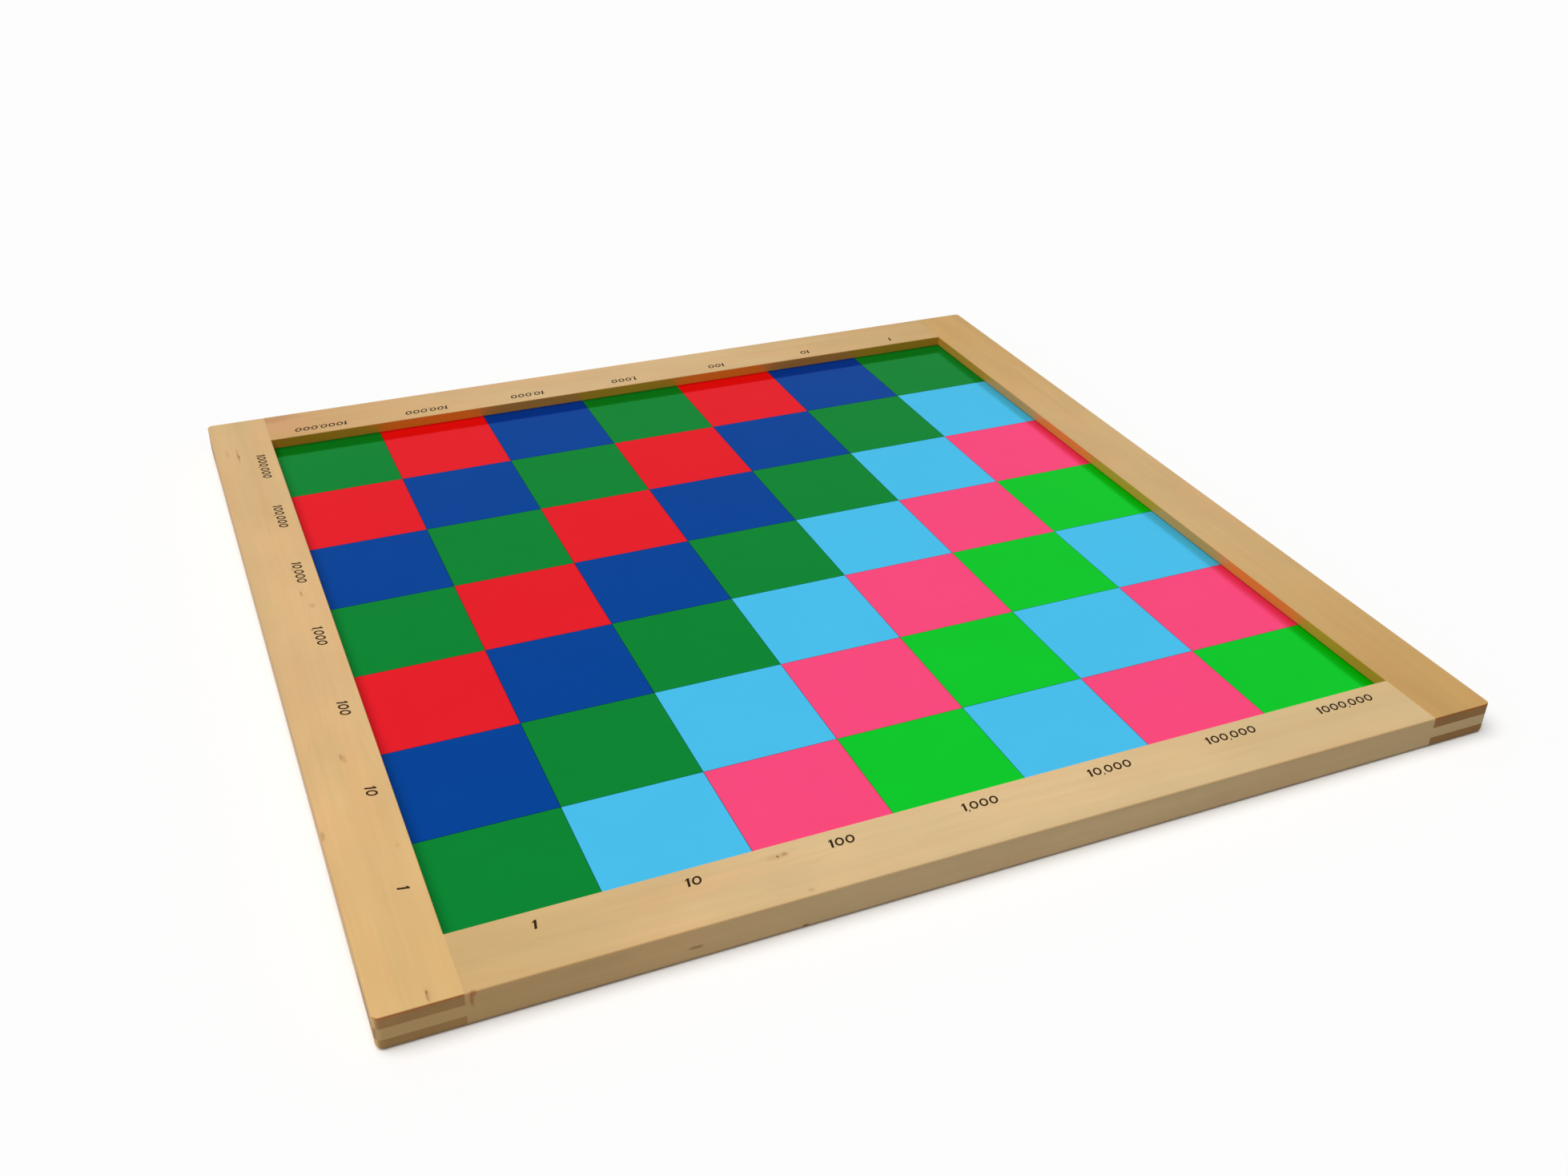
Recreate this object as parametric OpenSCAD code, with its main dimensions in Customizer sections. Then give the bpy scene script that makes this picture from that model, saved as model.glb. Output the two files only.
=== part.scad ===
// Decimal multiplication board: a printed panel of coloured squares, held in a groove
// inside a wooden frame. The two stiles run through, and each rail ends in a tenon that
// fills an open slot in the stile, which makes a corner bridle joint.
// The board lies flat. X runs to the right along the front rail, Y to the back and Z up.
// The origin is under the middle of the board.

/* [Squares] */
// Side of one square, which takes a bar of nine beads
square_side = 70; // [40:1:100]
// Number of squares along each side
squares = 7; // [3:1:9]
// Thickness of the printed film on the panel
print_t = 0.3; // [0.2:0.05:0.6]
// Cut across the corners of a square, so that squares of one colour share no edge
corner_relief = 0.15; // [0.1:0.05:0.5]
// How far the print lies to the left of the middle of the opening
print_left = 0.5; // [0:0.1:2]
// How far the print lies in front of the middle of the opening
print_forward = 2; // [0:0.1:4]

/* [Frame] */
// Width of a frame member, seen from above
member_w = 36; // [24:1:60]
// Thickness of the frame
frame_t = 18; // [15:0.5:24]
// Depth of the print below the top of the frame
recess = 6.5; // [5:0.1:8]
// Thickness of the tenons, at the middle of the frame's thickness
tenon_t = 6; // [4:0.5:8]

/* [Panel] */
// Thickness of the panel's board
panel_t = 4; // [3:0.1:5]
// Depth of the groove that holds the panel
groove_depth = 5; // [3:0.5:8]
// Room left round the edge of the panel, for the frame to shrink and swell
edge_play = 0.5; // [0.2:0.1:1.5]
// Room left above the print inside the groove
face_play = 0.2; // [0.1:0.05:0.5]

/* [Edges] */
// Radius of the four outer corners, seen from above
corner_r = 3; // [3:0.5:8]
// Radius of the outer bottom edge
foot_r = 2.5; // [0.5:0.25:2.75]
// Radius of the outer top edge
rim_r = 0.8; // [0.3:0.1:2]
// Radius of the top edge round the opening
lip_r = 0.5; // [0.2:0.1:2]

/* [Hidden] */
// Wood that stands proud of the frame until it is glued up and sanded flush
rough = 1;
opening = squares * square_side;
outside = opening + 2 * member_w;
half_opening = opening / 2;
half_outside = outside / 2;
tenon_z = (frame_t - tenon_t) / 2;
print_z = frame_t - recess - print_t;
panel_z = print_z - panel_t;
panel_side = opening + 2 * (groove_depth - edge_play);
seat_side = opening + 2 * groove_depth;
seat_h = panel_t + print_t + face_play;
$fn = 48;

STILE_WOOD = [0.87, 0.71, 0.49];
RAIL_WOOD = [0.84, 0.70, 0.49];
BOARD = [0.66, 0.52, 0.36];
DARK_GREEN = [0.05, 0.54, 0.19];
DARK_BLUE = [0.05, 0.28, 0.63];
RED = [0.90, 0.14, 0.17];
LIGHT_BLUE = [0.30, 0.75, 0.93];
PINK = [0.99, 0.28, 0.49];
LIGHT_GREEN = [0.05, 0.76, 0.14];

// What comes off a square edge to leave it round, with the round's centre at the origin
module round_waste(r) {
    difference() {
        square(r);
        circle(r);
    }
}

// Section of the outer corner and edge, from the corner's centre line out to the side
module edge_section() {
    difference() {
        square([corner_r, frame_t]);
        translate([corner_r - foot_r, foot_r])
            mirror([0, 1])
                round_waste(foot_r);
        translate([corner_r - rim_r, frame_t - rim_r])
            round_waste(rim_r);
    }
}

// The slab that the glued frame is sanded to: its edge runs along the sides and round the corners
module sanded_form() {
    run = outside - 2 * corner_r;
    translate([-run / 2, -run / 2, 0])
        cube([run, run, frame_t]);
    for (side = [0:90:270])
        rotate(side)
            translate([run / 2, run / 2, 0]) {
                rotate([90, 0, 0])
                    linear_extrude(run)
                        edge_section();
                rotate_extrude(angle = 90)
                    edge_section();
            }
}

// The room inside the frame for the edges of the panel and its print
module panel_seat() {
    translate([-seat_side / 2, -seat_side / 2, panel_z])
        cube([seat_side, seat_side, seat_h]);
}

// What comes off the top edge of the frame round the opening
module lip_waste() {
    for (side = [0:90:270])
        rotate(side)
            translate([half_opening + lip_r, half_opening, frame_t - lip_r])
                rotate([90, 0, 0])
                    linear_extrude(opening)
                        mirror([1, 0])
                            round_waste(lip_r);
}

// Grooves, eases and sands a rough member as part of the frame
module finished_member() {
    difference() {
        intersection() {
            children();
            sanded_form();
        }
        panel_seat();
        lip_waste();
    }
}

// The left stile before finishing: a full-length bar with a slot open at each end
module rough_stile() {
    difference() {
        translate([-half_outside - rough, -half_outside - rough, -rough])
            cube([member_w + rough, outside + 2 * rough, frame_t + 2 * rough]);
        for (end = [0, 1])
            mirror([0, end])
                translate([-half_outside - 2 * rough, -half_outside - 2 * rough, tenon_z])
                    cube([member_w + 3 * rough, member_w + 2 * rough, tenon_t]);
    }
}

// The front rail before finishing: a bar between the stiles with a tenon through each stile
module rough_rail() {
    translate([-half_opening, -half_outside - rough, -rough])
        cube([opening, member_w + rough, frame_t + 2 * rough]);
    translate([-half_outside - rough, -half_outside - rough, tenon_z])
        cube([outside + 2 * rough, member_w + rough, tenon_t]);
}

module left_stile() {
    color(STILE_WOOD)
        finished_member()
            rough_stile();
}

module right_stile() {
    color(STILE_WOOD)
        finished_member()
            mirror([1, 0])
                rough_stile();
}

module front_rail() {
    color(RAIL_WOOD)
        finished_member()
            rough_rail();
}

module back_rail() {
    color(RAIL_WOOD)
        finished_member()
            mirror([0, 1])
                rough_rail();
}

// The board lies on the lower side of the groove all round
module panel() {
    color(BOARD)
        translate([-panel_side / 2, -panel_side / 2, panel_z])
            cube([panel_side, panel_side, panel_t]);
}

// Where the edge of a square lies: the outermost edges run on to the edge of the panel
function square_edge(n, shift) =
    n == 0 ? -panel_side / 2 :
    n == squares ? panel_side / 2 :
    n * square_side - half_opening - shift;

// Colours by place value: they repeat every three diagonals, and differ on each side of the middle one
function square_colour(column, row) =
    column > row ? [LIGHT_GREEN, LIGHT_BLUE, PINK][(column - row) % 3] :
    [DARK_GREEN, DARK_BLUE, RED][(row - column) % 3];

module printed_square(column, row) {
    left = square_edge(column, print_left);
    right = square_edge(column + 1, print_left);
    front = square_edge(row, print_forward);
    back = square_edge(row + 1, print_forward);
    cut = corner_relief;
    translate([0, 0, print_z])
        linear_extrude(print_t)
            polygon([
                [left + cut, front], [right - cut, front],
                [right, front + cut], [right, back - cut],
                [right - cut, back], [left + cut, back],
                [left, back - cut], [left, front + cut]
            ]);
}

// All the squares of one colour
module squares_of(colour) {
    color(colour)
        for (column = [0:squares - 1], row = [0:squares - 1])
            if (square_colour(column, row) == colour)
                printed_square(column, row);
}

module dark_green_squares() { squares_of(DARK_GREEN); }
module dark_blue_squares() { squares_of(DARK_BLUE); }
module red_squares() { squares_of(RED); }
module light_blue_squares() { squares_of(LIGHT_BLUE); }
module pink_squares() { squares_of(PINK); }
module light_green_squares() { squares_of(LIGHT_GREEN); }

left_stile();
right_stile();
front_rail();
back_rail();
panel();
dark_green_squares();
dark_blue_squares();
red_squares();
light_blue_squares();
pink_squares();
light_green_squares();
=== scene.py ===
"""Looks of the decimal multiplication board: its wood, its printed panel, its numerals and the studio."""

import math

import bmesh
import bpy
from mathutils import Matrix, Vector


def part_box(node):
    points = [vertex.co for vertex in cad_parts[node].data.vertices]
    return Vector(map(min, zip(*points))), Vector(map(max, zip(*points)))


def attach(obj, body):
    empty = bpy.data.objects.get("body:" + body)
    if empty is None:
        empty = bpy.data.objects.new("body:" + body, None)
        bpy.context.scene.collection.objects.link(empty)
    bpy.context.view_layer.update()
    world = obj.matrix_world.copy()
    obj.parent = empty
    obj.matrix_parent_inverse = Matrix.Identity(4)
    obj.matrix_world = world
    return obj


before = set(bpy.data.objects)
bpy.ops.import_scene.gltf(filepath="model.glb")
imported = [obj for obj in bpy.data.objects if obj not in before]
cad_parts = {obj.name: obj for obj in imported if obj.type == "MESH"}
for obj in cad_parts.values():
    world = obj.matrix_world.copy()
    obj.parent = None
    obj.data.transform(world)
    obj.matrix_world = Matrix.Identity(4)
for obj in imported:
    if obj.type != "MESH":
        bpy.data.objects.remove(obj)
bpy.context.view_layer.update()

MM = 0.001
WHITE = (1, 1, 1, 1)

# Sizes that the rest is worked out from, in metres. A reach is measured from the middle of the board.
FRAME_REACH = -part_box("left_stile")[0].x
OPENING_REACH = -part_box("left_stile")[1].x
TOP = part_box("left_stile")[1].z
SQUARES = 7
SQUARE = 2 * OPENING_REACH / SQUARES


def colour(red, green, blue):
    """A colour read as 0 to 255 values on a screen, as the linear values that shaders take."""
    def linear(value):
        value /= 255
        return value / 12.92 if value <= 0.04045 else ((value + 0.055) / 1.055) ** 2.4
    return (linear(red), linear(green), linear(blue), 1)


class Graph:
    """The shader nodes of a material or a world. Most calls add a node and return one of its outputs."""

    # Sockets of the Mix node that hold colours
    FIRST = 6
    SECOND = 7
    MIXED = 2

    def __init__(self, owner, end="OutputMaterial"):
        owner.use_nodes = True
        self.owner = owner
        self.end = end
        self.tree = owner.node_tree
        self.tree.nodes.clear()

    def add(self, kind, inputs=None, output=0, **settings):
        """Adds a node. Each input is a plain value or an output of another node."""
        node = self.tree.nodes.new("ShaderNode" + kind)
        for setting, value in settings.items():
            setattr(node, setting, value)
        for socket, value in (inputs or {}).items():
            if isinstance(value, bpy.types.NodeSocket):
                self.tree.links.new(value, node.inputs[socket])
            else:
                node.inputs[socket].default_value = value
        return node.outputs[output]

    def math(self, operation, *values):
        return self.add("Math", dict(enumerate(values)), operation=operation)

    def vector(self, operation, *values):
        return self.add("VectorMath", dict(enumerate(values)), operation=operation)

    def measure(self, operation, *values):
        """A number worked out from vectors, such as a length."""
        return self.add("VectorMath", dict(enumerate(values)), "Value", operation=operation)

    def axes(self, place):
        """The x, y and z of a place."""
        return self.add("SeparateXYZ", {0: place}).node.outputs

    def millimetres(self):
        """The place on the board, in millimetres, in the board's own frame."""
        return self.vector("DIVIDE", self.add("TexCoord", output="Object"), (MM, MM, MM))

    def rise(self, value, low, high, start=0.0, end=1.0):
        """A smooth step from start to end, as value goes from low to high."""
        inputs = {"Value": value, "From Min": low, "From Max": high, "To Min": start, "To Max": end}
        return self.add("MapRange", inputs, interpolation_type="SMOOTHSTEP")

    def fall(self, value, low, high):
        """A smooth step from 1 to 0, as value goes from low to high."""
        return self.rise(value, low, high, 1.0, 0.0)

    def spread(self, value, low, high):
        """A straight line from low to high, as value goes from 0 to 1."""
        return self.math("MULTIPLY_ADD", value, high - low, low)

    def noise(self, place, sizes, detail=2.0, roughness=0.5, output="Fac"):
        """Noise whose blotches have about these sizes along each axis, in the units of place."""
        scaled = self.vector("DIVIDE", place, sizes)
        inputs = {"Vector": scaled, "Scale": 1.0, "Detail": detail, "Roughness": roughness}
        return self.add("TexNoise", inputs, output)

    def mix(self, amount, first, second, blend="MIX"):
        inputs = {"Factor": amount, self.FIRST: first, self.SECOND: second}
        return self.add("Mix", inputs, self.MIXED, data_type="RGBA", blend_type=blend)

    def multiply(self, tone, factors):
        """A colour with its red, green and blue multiplied by these factors."""
        return self.mix(1.0, tone, (*factors, 1), "MULTIPLY")

    def shade(self, tone, amount, factors):
        """A colour that is multiplied by these factors where amount is 1, and kept where it is 0."""
        return self.mix(amount, tone, self.multiply(tone, factors))

    def tint(self, tone, value, amount):
        """A colour made darker and lighter by amount, as value goes from 0 to 1."""
        factor = self.spread(value, 1 - amount, 1 + amount)
        grey = self.add("CombineColor", {0: factor, 1: factor, 2: factor})
        return self.mix(1.0, tone, grey, "MULTIPLY")

    def bump(self, height, strength, depth):
        """The normal of a relief whose height goes from 0 to 1 over this depth in millimetres."""
        return self.add("Bump", {"Strength": strength, "Distance": depth * MM, "Height": height})

    def finish(self, **inputs):
        """Ends the graph in one principled shader with these inputs, and returns the material."""
        named = {key.replace("_", " "): value for key, value in inputs.items()}
        self.add_output(self.add("BsdfPrincipled", named))
        return self.owner

    def add_output(self, shader):
        node = self.tree.nodes.new("ShaderNode" + self.end)
        self.tree.links.new(shader, node.inputs["Surface"])


def new_graph(name):
    """The graph of a new material."""
    return Graph(bpy.data.materials.new(name))


# Directions of the grain
ALONG_X = (1, 0, 0)
ALONG_Y = (0, 1, 0)

# The share of a member's half length, on each side of its middle, that has the middle tone alone
MIDDLE_SHARE = 0.1

# The figure of the wood. Sizes are across, up and along the grain, in millimetres.
BAND_SIZES = (5, 5, 170)
BAND_TINT = 0.07
CLOUD_SIZES = (24, 24, 55)
CLOUD_TINT = 0.10
FIBRE_SIZES = (0.5, 0.5, 22)
FIBRE_TINT = 0.04
FIBRE_DEPTH = 0.05
FIBRE_ROUGHNESS = (0.42, 0.56)
BLUSH_SIZES = (17, 17, 90)
BLUSH_RANGE = (0.4, 0.7)
BLUSH_FACTORS = (1.03, 0.98, 0.97)

# Growth rings. Their width, their wander and all sizes are in millimetres.
RING_WIDTH = 3.1
RING_SHARPNESS = 2.5
RING_STRENGTH = 0.18
LATE_WOOD_FACTORS = (0.86, 0.82, 0.76)
PITH_WANDER = 22
WANDER_SIZES = (60, 60, 300)
UNEVEN_RINGS = 2.4
UNEVEN_SIZES = (6, 6, 70)
PATCH_SIZES = (14, 14, 110)
PATCH_RANGE = (0.4, 0.7)
FAINTEST_PATCH = 0.25

# Knots, slits and stains. The core is a share of a spot's radius, and the bend is in millimetres.
SPOT_CORE = 0.25
SPOT_BEND = 1.2
SPOT_BEND_SIZES = (3, 3, 3)

# Millimetres behind the face of the recess wall, and under the frame's top, where its painted shade and
# its coat fade
WALL_FADE = (0.1, 0.5)

# The dark line along the top edges, by how much a face looks up and how much it looks along the grain
EDGE_LINE_COMES = (0.03, 0.3)
EDGE_LINE_GOES = (0.7, 0.96)
EDGE_LINE_STRENGTH = 0.8
EDGE_FACTORS = (0.96, 0.86, 0.76)
END_EDGE_RANGE = (0.15, 0.4)
END_EDGE_FACTORS = (0.66, 0.43, 0.32)

# End grain. Its rust starts at one depth under the frame's top and is full at another, in millimetres.
END_RANGE = (0.6, 0.95)
END_FACTORS = (0.62, 0.555, 0.505)
PORE_SIZES = (0.35, 0.35, 4)
PORE_TINT = 0.12
RUST_STARTS = 2.2
RUST_FULL = 1.2
RUST_FACTORS = (1.1, 0.91, 0.82)


class Timber(Graph):
    """The graph of one frame member, with the places and directions that its wood is worked out from."""

    def __init__(self, name, grain):
        super().__init__(bpy.data.materials.new(name))
        self.place = self.millimetres()
        x, y, self.height = self.axes(self.place)
        self.along, self.across = (x, y) if grain == ALONG_X else (y, x)
        self.inside = self.add("CombineXYZ", {0: self.across, 1: self.height, 2: self.along})
        self.normal = self.add("TexCoord", output="Normal")
        self.facing_end = self.math("ABSOLUTE", self.measure("DOT_PRODUCT", self.normal, grain))


def along_member(timber, tones):
    """The tone at each place along a member, from the tones at its start, middle and end."""
    start, middle, end = tones
    reach = FRAME_REACH / MM
    tone = timber.mix(timber.rise(timber.along, -reach, -MIDDLE_SHARE * reach), start, middle)
    return timber.mix(timber.rise(timber.along, MIDDLE_SHARE * reach, reach), tone, end)


def add_figure(timber, tone, fibres):
    """Bands, clouds and fibres, and a drift between pinker and yellower wood."""
    tone = timber.tint(tone, timber.noise(timber.inside, BAND_SIZES), BAND_TINT)
    tone = timber.tint(tone, timber.noise(timber.inside, CLOUD_SIZES), CLOUD_TINT)
    tone = timber.tint(tone, fibres, FIBRE_TINT)
    blush = timber.noise(timber.inside, BLUSH_SIZES, detail=1.0)
    return timber.shade(tone, timber.rise(blush, *BLUSH_RANGE), BLUSH_FACTORS)


def add_rings(timber, tone, pith):
    """Rings of late wood round a pith line that wanders a little, fainter in some patches."""
    pith_across, pith_height = pith
    half = PITH_WANDER / 2
    reach = (PITH_WANDER, PITH_WANDER, 0)
    start = (-half - pith_across, -half - pith_height, 0)
    wander = timber.noise(timber.inside, WANDER_SIZES, detail=1.0, output="Color")
    wander = timber.vector("MULTIPLY_ADD", wander, reach, start)
    distance = timber.measure("LENGTH", timber.vector("MULTIPLY_ADD", timber.inside, (1, 1, 0), wander))
    uneven = timber.math("MULTIPLY", timber.noise(timber.inside, UNEVEN_SIZES), UNEVEN_RINGS)
    rings = timber.math("MULTIPLY_ADD", distance, 1 / RING_WIDTH, uneven)
    late_wood = timber.math("POWER", timber.math("FRACT", rings), RING_SHARPNESS)
    patches = timber.noise(timber.inside, PATCH_SIZES, detail=1.0)
    strength = timber.rise(patches, *PATCH_RANGE, FAINTEST_PATCH, 1.0)
    amount = timber.math("MULTIPLY", timber.math("MULTIPLY", late_wood, strength), RING_STRENGTH)
    return timber.shade(tone, amount, LATE_WOOD_FACTORS)


def spot(graph, place, centre, radii):
    """1 in the core of a long round spot, falling to 0 at its edge."""
    scaled = graph.vector("DIVIDE", graph.vector("SUBTRACT", place, centre), radii)
    return graph.fall(graph.measure("LENGTH", scaled), SPOT_CORE, 1.0)


def add_marks(timber, tone, marks):
    """Knots, slits and stains, with outlines that are a little bent."""
    bend = timber.noise(timber.place, SPOT_BEND_SIZES, output="Color")
    bent = timber.vector("MULTIPLY_ADD", bend, (SPOT_BEND,) * 3, timber.place)
    bent = timber.vector("SUBTRACT", bent, (SPOT_BEND / 2,) * 3)
    for mark_tone, centre, radii, strength in marks:
        amount = timber.math("MULTIPLY", spot(timber, bent, centre, radii), strength)
        tone = timber.mix(amount, tone, mark_tone)
    return tone


def on_recess_wall(timber):
    """1 on the wall of the recess, and 0 elsewhere."""
    near, far = WALL_FADE
    opening = OPENING_REACH / MM
    top = TOP / MM
    inward = timber.fall(timber.math("ABSOLUTE", timber.across), opening + near, opening + far)
    below = timber.fall(timber.height, top - far, top - near)
    return timber.math("MULTIPLY", inward, below)


def add_edge_line(timber, tone):
    """A thin darker line of finish along the rounded top edges, most of all over end grain."""
    up = timber.measure("DOT_PRODUCT", timber.normal, (0, 0, 1))
    turned = timber.math("MULTIPLY", timber.rise(up, *EDGE_LINE_COMES), timber.fall(up, *EDGE_LINE_GOES))
    side_edge = timber.multiply(tone, EDGE_FACTORS)
    end_edge = timber.multiply(tone, END_EDGE_FACTORS)
    edge = timber.mix(timber.rise(timber.facing_end, *END_EDGE_RANGE), side_edge, end_edge)
    return timber.mix(timber.math("MULTIPLY", turned, EDGE_LINE_STRENGTH), tone, edge)


def add_end_grain(timber, tone):
    """End grain drinks more of the finish, so it is darker, and rustier near the top of the frame."""
    pores = timber.noise(timber.inside, PORE_SIZES, detail=1.0)
    end_tone = timber.tint(timber.multiply(tone, END_FACTORS), pores, PORE_TINT)
    near_top = timber.rise(timber.height, TOP / MM - RUST_STARTS, TOP / MM - RUST_FULL)
    end_tone = timber.shade(end_tone, near_top, RUST_FACTORS)
    return timber.mix(timber.rise(timber.facing_end, *END_RANGE), tone, end_tone)


def wood(name, tones, grain, pith, recess_shade_factors, marks):
    """Pale wood whose growth rings lie round a pith line, so that faces, edges and end grain agree.

    tones are the colours at the start, middle and end of the member. pith is the pith line's place
    across the member and above the table, in millimetres. The wall factors paint shade, and light bounced
    from the print, on the wall of the recess, as factors of its colour. marks are (tone, centre, radii,
    strength).
    """
    timber = Timber(name, grain)
    fibres = timber.noise(timber.inside, FIBRE_SIZES, detail=3.0, roughness=0.6)
    on_wall = on_recess_wall(timber)
    tone = along_member(timber, tones)
    tone = add_figure(timber, tone, fibres)
    tone = add_rings(timber, tone, pith)
    tone = add_marks(timber, tone, marks)
    # Painted shade and painted light bounced from the print, on the wall of the recess
    tone = timber.shade(tone, on_wall, recess_shade_factors)
    tone = add_edge_line(timber, tone)
    tone = add_end_grain(timber, tone)
    return timber.finish(
        Base_Color=tone, Specular_IOR_Level=0.08,
        Roughness=timber.spread(fibres, *FIBRE_ROUGHNESS),
        Normal=timber.bump(fibres, strength=0.25, depth=FIBRE_DEPTH),
        Coat_Weight=on_wall, Coat_Roughness=0.34,
    )


def on_top(x, y):
    """A place on top of the frame, in millimetres."""
    return (x, y, TOP / MM)


def on_front(x, z, proud=0):
    """A place on the front of the frame, or proud of it, in millimetres."""
    return (x, -FRAME_REACH / MM - proud, z)


# Tones of the marks in the wood
KNOT = colour(112, 70, 36)
BROWN = colour(160, 112, 70)
STAIN = colour(196, 144, 98)
RED_STREAK = colour(182, 112, 70)
PINK_PATCH = colour(213, 158, 116)
RUSSET_PATCH = colour(188, 138, 96)

# Marks, each as its tone, its middle, its radii in x, y and z in millimetres, and its strength
LEFT_STILE_MARKS = [
    (KNOT, on_top(-258.4, -274.6), (0.7, 2.2, 2), 0.8),
    (BROWN, on_top(-258.6, -277.6), (0.8, 3.2, 3), 0.6),
    (STAIN, on_top(-258.2, -276.0), (1.8, 6.0, 3), 0.3),
    (STAIN, on_top(-251.0, -183.0), (1.6, 2.6, 3), 0.3),
    (BROWN, on_top(-280.2, -165.0), (1.5, 5.0, 2), 0.4),
    (BROWN, on_top(-262.8, -110.6), (0.8, 3.8, 3), 0.6),
    (STAIN, on_top(-261.8, -112.5), (1.8, 5.0, 3), 0.5),
    (KNOT, on_top(-267.3, 227.5), (0.8, 4.5, 3), 0.6),
    (BROWN, on_top(-267.8, 229.0), (0.9, 15.0, 3), 0.5),
    (STAIN, on_top(-273.8, 234.0), (1.6, 7.0, 3), 0.4),
    (BROWN, on_top(-256.9, 45.1), (0.9, 4.5, 3), 0.5),
    (STAIN, on_top(-253.2, 30.7), (2.4, 4.0, 3), 0.5),
]
FRONT_RAIL_MARKS = [
    (KNOT, on_top(-99.6, -252.6), (1.1, 1.0, 4), 0.9),
    (BROWN, on_top(-96.2, -252.3), (2.4, 1.7, 4), 0.6),
    (STAIN, on_top(-100, -252.9), (8, 2.8, 5), 0.3),
    (BROWN, on_top(-94.4, -277.8), (2.2, 1.6, 3), 0.28),
    (KNOT, on_front(-148.2, 7.3), (5.0, 3, 1.1), 0.5),
    (KNOT, on_front(-98.1, 1.8), (2.2, 4, 1.4), 0.85),
    (RED_STREAK, on_front(-241.5, 17.4, proud=0.5), (2.0, 2.2, 3.6), 0.7),
    (RED_STREAK, on_front(-242.2, 13.8, proud=0.5), (1.1, 2.2, 5.4), 0.75),
]
BACK_RAIL_MARKS = [
    (PINK_PATCH, on_top(-236, 266), (32, 16, 8), 0.55),
    (RUSSET_PATCH, on_top(-242, 277), (26, 10, 8), 0.7),
]

# The wood of each frame member, with factors that paint shade and bounce light on its recess wall
WOODS = {
    "left_stile": {
        "tones": [colour(222, 184, 125), colour(219, 182, 130), colour(212, 178, 127)],
        "grain": ALONG_Y,
        "pith": (-330, 40),
        "recess_shade_factors": (1.02, 0.79, 0.2),
        "marks": LEFT_STILE_MARKS,
    },
    "right_stile": {
        "tones": [colour(196, 157, 97), colour(205, 171, 120), colour(197, 159, 100)],
        "grain": ALONG_Y,
        "pith": (215, -60),
        "recess_shade_factors": (1.20, 0.90, 0.31),
        "marks": [],
    },
    "front_rail": {
        "tones": [colour(208, 174, 120), colour(220, 190, 142), colour(210, 183, 135)],
        "grain": ALONG_X,
        "pith": (-210, -50),
        "recess_shade_factors": (1.02, 0.79, 0.2),
        "marks": FRONT_RAIL_MARKS,
    },
    "back_rail": {
        "tones": [colour(204, 163, 109), colour(211, 178, 130), colour(198, 164, 111)],
        "grain": ALONG_X,
        "pith": (330, 30),
        "recess_shade_factors": (1.08, 0.75, 0.14),
        "marks": BACK_RAIL_MARKS,
    },
}


# Painted shade and painted reflection of the walls, as strips of deeper print in front of the right and
# back walls, by distance from the wall in millimetres
RIGHT_STRIP_STARTS = 10.5
RIGHT_STRIP_FULL = 1.5
BACK_STRIP = 14
BACK_STRIP_BLUR = 0.7

# Seams where two printed colours overlap. The reach is half their width, in millimetres.
SEAM_REACH = 0.2
SEAM_BLUR = 0.05
OVERLAP_FACTORS = (0.35, 0.35, 0.35)

# The surface of the print. Its sizes and its depth are in millimetres.
MOTTLE_SIZES = (26, 26, 26)
MOTTLE_TINT = 0.03
SMEAR_SIZES = (40, 14, 14)
SMEAR_ROUGHNESS = (0.06, 0.14)
RIPPLE_SIZES = (2.2, 2.2, 2.2)
RIPPLE_DEPTH = 0.02

# How much of a mirrored light the print keeps at a grazing view
GRAZING = (0.6, 0.6, 0.6, 1)

# The colour of each print, its colour with painted shade and painted wall reflection by the right and
# back walls, and the share of the light that it mirrors
PRINTS = {
    "dark_green_squares": (colour(12, 134, 52), colour(6, 119, 24), 0.25),
    "dark_blue_squares": (colour(6, 68, 152), colour(3, 51, 137), 0.20),
    "red_squares": (colour(231, 31, 42), colour(219, 10, 10), 0.10),
    "light_blue_squares": (colour(74, 192, 237), colour(65, 168, 202), 0.20),
    "pink_squares": (colour(250, 74, 126), colour(214, 39, 69), 0.12),
    "light_green_squares": (colour(14, 201, 44), colour(3, 171, 0), 0.25),
}


def wall_shade_and_reflection(graph, place):
    """1 in the strips of painted shade and painted wall reflection in front of the right and back walls,
    and 0 elsewhere.
    """
    axes = graph.axes(place)
    wall = OPENING_REACH / MM
    edge = wall - BACK_STRIP
    right_wall_shade = graph.rise(axes["X"], wall - RIGHT_STRIP_STARTS, wall - RIGHT_STRIP_FULL)
    back_wall_shade = graph.rise(axes["Y"], edge - BACK_STRIP_BLUR, edge + BACK_STRIP_BLUR)
    return graph.math("MAXIMUM", right_wall_shade, back_wall_shade)


def on_seam(graph, place):
    """1 along the lines where squares meet, and 0 elsewhere."""
    low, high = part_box("light_blue_squares")
    crossing = (low.x / MM, high.y / MM, 0)
    squares = graph.vector("DIVIDE", graph.vector("SUBTRACT", place, crossing), (SQUARE / MM,) * 3)
    nearest_line = graph.vector("FLOOR", graph.vector("ADD", squares, (0.5,) * 3))
    apart = graph.axes(graph.vector("ABSOLUTE", graph.vector("SUBTRACT", squares, nearest_line)))
    distance = graph.math("MULTIPLY", graph.math("MINIMUM", apart["X"], apart["Y"]), SQUARE / MM)
    return graph.fall(distance, SEAM_REACH - SEAM_BLUR, SEAM_REACH + SEAM_BLUR)


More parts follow.
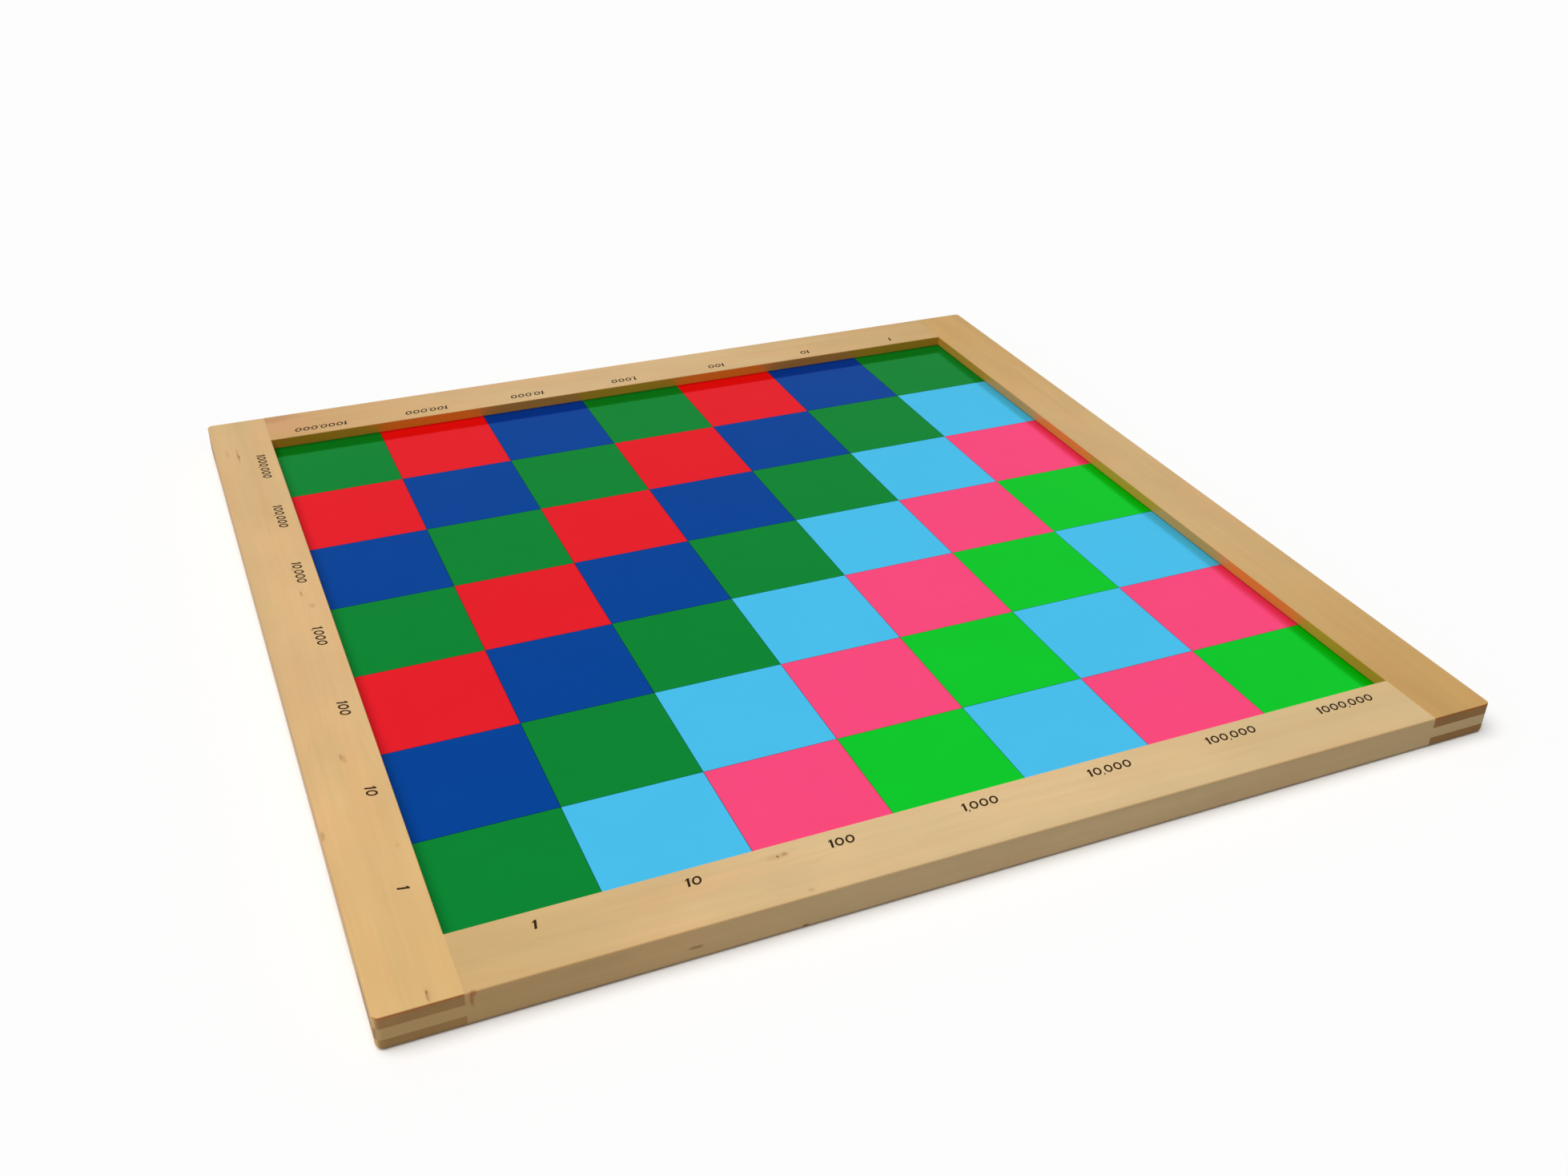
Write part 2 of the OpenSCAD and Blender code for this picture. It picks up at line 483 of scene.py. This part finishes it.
def printed(name, base, wall_shaded_tone, mirrored):
    """Glossy printed film. The colour given after base is its colour by the right and back walls, with
    painted shade and painted wall reflection, and mirrored is the share that it mirrors.
    """
    graph = new_graph(name)
    place = graph.millimetres()
    # Painted shade and painted reflection of the walls, in the strips by the right and back walls
    tone = graph.mix(wall_shade_and_reflection(graph, place), base, wall_shaded_tone)
    tone = graph.tint(tone, graph.noise(place, MOTTLE_SIZES), MOTTLE_TINT)
    tone = graph.shade(tone, on_seam(graph, place), OVERLAP_FACTORS)
    smear = graph.noise(place, SMEAR_SIZES, detail=3.0)
    ripple = graph.noise(place, RIPPLE_SIZES, detail=1.0)
    return graph.finish(
        Base_Color=tone, Metallic=mirrored, Specular_Tint=GRAZING, Specular_IOR_Level=0.006,
        Roughness=graph.spread(smear, *SMEAR_ROUGHNESS),
        Normal=graph.bump(ripple, strength=0.1, depth=RIPPLE_DEPTH),
    )


# The board of the panel. Its sizes and its depth are in millimetres.
FIBREBOARD = colour(166, 132, 92)
FELT_SIZES = (0.9, 0.9, 0.9)
FELT_TINT = 0.35
FELT_DEPTH = 0.1
BOARD_CLOUD_SIZES = (45, 45, 45)
BOARD_CLOUD_TINT = 0.12


def fibreboard(name):
    """The panel's brown board, with fine felted fibres."""
    graph = new_graph(name)
    place = graph.millimetres()
    felt = graph.noise(place, FELT_SIZES, detail=4.0, roughness=0.7)
    tone = graph.tint(FIBREBOARD, felt, FELT_TINT)
    tone = graph.tint(tone, graph.noise(place, BOARD_CLOUD_SIZES), BOARD_CLOUD_TINT)
    return graph.finish(
        Base_Color=tone, Roughness=0.75, Specular_IOR_Level=0.2,
        Normal=graph.bump(felt, strength=0.3, depth=FELT_DEPTH),
    )


# The ink of the numerals. Its sizes and its relief are in millimetres.
INK = colour(42, 26, 9)
THIN_INK = colour(104, 80, 52)
THIN_SIZES = (0.25, 0.25, 0.25)
THIN_RANGE = (0.6, 0.85)
THINNEST = 0.2
INK_RELIEF = 0.02


def ink(name):
    """Black screen print, a little thin where the wood's fibres stand up."""
    graph = new_graph(name)
    thin = graph.noise(graph.millimetres(), THIN_SIZES)
    tone = graph.mix(graph.rise(thin, *THIN_RANGE, 0.0, THINNEST), INK, THIN_INK)
    return graph.finish(
        Base_Color=tone, Roughness=0.6, Specular_IOR_Level=0.08,
        Normal=graph.bump(thin, strength=0.2, depth=INK_RELIEF),
    )


def dress(node, material):
    """Gives a CAD node its material, with its mesh as it is."""
    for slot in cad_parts[node].material_slots:
        slot.material = material


def dress_board():
    """Gives every CAD node its material."""
    for node, look in WOODS.items():
        dress(node, wood(node + "_wood", **look))
    for node, look in PRINTS.items():
        dress(node, printed(node + "_print", *look))
    dress("panel", fibreboard("panel_fibreboard"))


# Numerals: an upright design in millimetres, with its baseline at 0, that is then slanted
DIGIT_HEIGHT = 5.3
SLANT = math.tan(math.radians(10.5))
ZERO_WIDTH = 4.35
RING_STROKE = 0.95
RING_POINTS = 40
STEM_WIDTH = 1.15
STEM_CUT = 0.15
FLAG_REACH = 0.75
FLAG_DROP = 1.2
FLAG_STROKE = 0.95
ZERO_PITCH = 5.15
ONE_PITCH = 3.75
ZEROS_AFTER_COMMA = 3
COMMA_ROOM = 1.0
COMMA_DROP = 0.95
COMMA_RISE = 0.35
COMMA_WIDTH = 0.55
INK_RISE = 0.05
INK_SUNK = 0.05

# How far the middles of the numerals are off the opening, and off the middles of their squares
FRONT_OFF = 8.8 * MM
FRONT_SHIFT = 0.9 * MM
LEFT_OFF = 9.4 * MM
LEFT_SHIFT = 1.25 * MM
BACK_OFF = 9.1 * MM
BACK_SHIFT = 1.5 * MM


def ellipse(centre, width, height):
    """The points of an ellipse at the middle of the digits' height."""
    points = []
    for step in range(RING_POINTS):
        angle = 2 * math.pi * step / RING_POINTS
        across = centre + width / 2 * math.cos(angle)
        up = DIGIT_HEIGHT / 2 + height / 2 * math.sin(angle)
        points.append((across, up))
    return points


def zero(centre):
    """A ring, as its outer and inner outlines."""
    return [
        ellipse(centre, ZERO_WIDTH, DIGIT_HEIGHT),
        ellipse(centre, ZERO_WIDTH - 2 * RING_STROKE, DIGIT_HEIGHT - 2 * RING_STROKE),
    ]


def one(centre):
    """A stem with a flag that falls to the left, as one outline."""
    left = centre - STEM_WIDTH / 2
    right = centre + STEM_WIDTH / 2
    tip = left - FLAG_REACH
    return [[
        (right, 0),
        (right, DIGIT_HEIGHT),
        (left + STEM_CUT, DIGIT_HEIGHT),
        (tip, DIGIT_HEIGHT - FLAG_DROP + FLAG_STROKE / 4),
        (tip, DIGIT_HEIGHT - FLAG_DROP - FLAG_STROKE / 2),
        (left, DIGIT_HEIGHT - FLAG_STROKE),
        (left, 0),
    ]]


def comma(centre):
    """A short tick that hangs from the baseline, as one outline."""
    half = COMMA_WIDTH / 2
    tail = centre - half
    return [[
        (tail - half, -COMMA_DROP),
        (tail + half, -COMMA_DROP),
        (centre + half, COMMA_RISE),
        (centre - half, COMMA_RISE),
    ]]


def numeral(zeros):
    """A one with this many zeros after it and a comma before the last three, centred on 0."""
    glyphs = [one(0)]
    middle = 0
    pitch = ONE_PITCH
    for position in range(zeros):
        if zeros - position == ZEROS_AFTER_COMMA:
            glyphs.append(comma(middle + pitch - ZERO_PITCH / 2 + COMMA_ROOM / 2))
            pitch += COMMA_ROOM
        middle += pitch
        glyphs.append(zero(middle))
        pitch = ZERO_PITCH
    reach = [x for glyph in glyphs for outline in glyph for x, y in outline]
    shift = (min(reach) + max(reach)) / 2
    return [[[(x - shift, y) for x, y in outline] for outline in glyph] for glyph in glyphs]


def add_rim(mesh, outline, placing, height):
    """Adds the points of one outline, slanted, at this height, and returns them."""
    rim = []
    for x, y in outline:
        slanted = x + SLANT * (y - DIGIT_HEIGHT / 2)
        rim.append(mesh.verts.new(placing @ Vector((slanted, y, height))))
    return rim


def join_rims(mesh, first, second):
    """Adds a band of faces between two rims that have as many points."""
    count = len(first)
    for corner in range(count):
        after = (corner + 1) % count
        mesh.faces.new([first[corner], first[after], second[after], second[corner]])


def add_glyph(mesh, glyph, placing):
    """Adds one glyph as a thin solid. The glyph is one outline, or an outer and an inner one."""
    low = [add_rim(mesh, outline, placing, -INK_SUNK) for outline in glyph]
    high = [add_rim(mesh, outline, placing, INK_RISE) for outline in glyph]
    for low_rim, high_rim in zip(low, high):
        join_rims(mesh, low_rim, high_rim)
    for rims in (low, high):
        if len(rims) == 1:
            mesh.faces.new(rims[0])
        else:
            join_rims(mesh, rims[0], rims[1])


def on_member(centre, reading, upward):
    """The way from a numeral's own millimetres to its place on top of the frame, in metres."""
    turned = Matrix((
        (reading[0] * MM, upward[0] * MM, 0, centre[0]),
        (reading[1] * MM, upward[1] * MM, 0, centre[1]),
        (0, 0, MM, TOP),
        (0, 0, 0, 1),
    ))
    return turned @ Matrix.Translation((0, -DIGIT_HEIGHT / 2, 0))


def add_object(name, mesh, material):
    """Turns a bmesh into an object of the scene, with one material."""
    data = bpy.data.meshes.new(name)
    mesh.to_mesh(data)
    mesh.free()
    data.materials.append(material)
    added = bpy.data.objects.new(name, data)
    bpy.context.scene.collection.objects.link(added)
    return added


def add_numeral_row(name, material, centre_of, reading, upward):
    """The numerals along one frame member, as one piece.

    centre_of gives the middle of the numeral with so many zeros. reading is the direction in which
    it is read, and upward the one in which its digits stand.
    """
    mesh = bmesh.new()
    for zeros in range(SQUARES):
        placing = on_member(centre_of(zeros), reading, upward)
        for glyph in numeral(zeros):
            add_glyph(mesh, glyph, placing)
    bmesh.ops.recalc_face_normals(mesh, faces=mesh.faces)
    piece = add_object(name, mesh, material)
    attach(piece, "root")


def square_centre(number):
    """The middle of a square, counted from one end of the board."""
    return -OPENING_REACH + (number + 0.5) * SQUARE


def add_numerals():
    """Three rows of numerals, each the right way up when it is seen from its own side of the board."""
    black = ink("numeral_ink")
    add_numeral_row(
        "front_numerals", black, reading=(1, 0), upward=(0, 1),
        centre_of=lambda zeros: (square_centre(zeros) + FRONT_SHIFT, -OPENING_REACH - FRONT_OFF),
    )
    add_numeral_row(
        "left_numerals", black, reading=(0, -1), upward=(1, 0),
        centre_of=lambda zeros: (-OPENING_REACH - LEFT_OFF, square_centre(zeros) - LEFT_SHIFT),
    )
    add_numeral_row(
        "back_numerals", black, reading=(-1, 0), upward=(0, -1),
        centre_of=lambda zeros: (-square_centre(zeros) - BACK_SHIFT, OPENING_REACH + BACK_OFF),
    )


# The studio: a soft light from above and the left, and a pale floor
KEY = {"azimuth": -80, "elevation": 70, "softness": 60, "level": 0.79}
AMBIENT = 0.19
FLOOR_BOUNCE = (0.5, 0.5, 0.5, 1)
FLOOR_REACH = 20
FLOOR_DROP = 0.02 * MM

# The photograph's camera, in metres, with its roll in degrees and its lens and sensor in millimetres
CAMERA_PLACE = (-0.31517, -0.73909, 0.48034)
CAMERA_AIM = (-0.00353, -0.03711, 0.0115)
CAMERA_ROLL = 1.237
CAMERA_LENS = 36.5
CAMERA_SENSOR = 36


def shows_white(graph):
    """1 for rays that carry the picture or a reflection, 0 for rays that carry light."""
    rays = graph.add("LightPath").node.outputs
    seen = graph.math("MAXIMUM", rays["Is Camera Ray"], rays["Is Glossy Ray"])
    return graph.math("MAXIMUM", seen, rays["Is Transmission Ray"])


def add_floor():
    """A wide floor that looks white where it is lit, and gives back less light than it seems to."""
    graph = new_graph("floor")
    tone = graph.mix(shows_white(graph), FLOOR_BOUNCE, WHITE)
    graph.add_output(graph.add("BsdfDiffuse", {"Color": tone}))
    mesh = bmesh.new()
    bmesh.ops.create_grid(mesh, x_segments=1, y_segments=1, size=FLOOR_REACH)
    floor = add_object("floor", mesh, graph.owner)
    floor.location.z = -FLOOR_DROP


def add_world():
    """A white world that gives less light than it seems to."""
    world = bpy.data.worlds.new("studio")
    bpy.context.scene.world = world
    graph = Graph(world, "OutputWorld")
    gives_light = graph.add("LightPath", output="Is Diffuse Ray")
    strength = graph.add("MapRange", {"Value": gives_light, "To Min": 1.0, "To Max": AMBIENT})
    graph.add_output(graph.add("Background", {"Color": WHITE, "Strength": strength}))


def add_light(name, azimuth, elevation, softness, level):
    """A distant light. level is what it gives to a level surface, as a share of full light.

    Azimuth 0 shines from the front and 90 from the right, in degrees.
    """
    turn = math.radians(azimuth)
    rise = math.radians(elevation)
    data = bpy.data.lights.new(name, "SUN")
    data.angle = math.radians(softness)
    data.energy = level * math.pi / math.sin(rise)
    light = bpy.data.objects.new(name, data)
    light.visible_glossy = False
    towards = Vector((math.cos(rise) * math.sin(turn), -math.cos(rise) * math.cos(turn), math.sin(rise)))
    light.rotation_mode = "QUATERNION"
    light.rotation_quaternion = towards.to_track_quat("Z", "Y")
    bpy.context.scene.collection.objects.link(light)


def add_camera():
    """The photograph's camera, worked out from the grid of squares and the frame's edges."""
    data = bpy.data.cameras.new("camera")
    data.sensor_width = CAMERA_SENSOR
    data.lens = CAMERA_LENS
    camera = bpy.data.objects.new("camera", data)
    camera.location = CAMERA_PLACE
    camera.rotation_mode = "QUATERNION"
    view = Vector(CAMERA_AIM) - Vector(CAMERA_PLACE)
    roll = Matrix.Rotation(math.radians(CAMERA_ROLL), 3, "Z").to_quaternion()
    camera.rotation_quaternion = view.to_track_quat("-Z", "Y") @ roll
    bpy.context.scene.collection.objects.link(camera)
    bpy.context.scene.camera = camera


dress_board()
add_numerals()
add_floor()
add_world()
add_light("key", **KEY)
add_camera()
bpy.context.scene.view_settings.view_transform = "Standard"
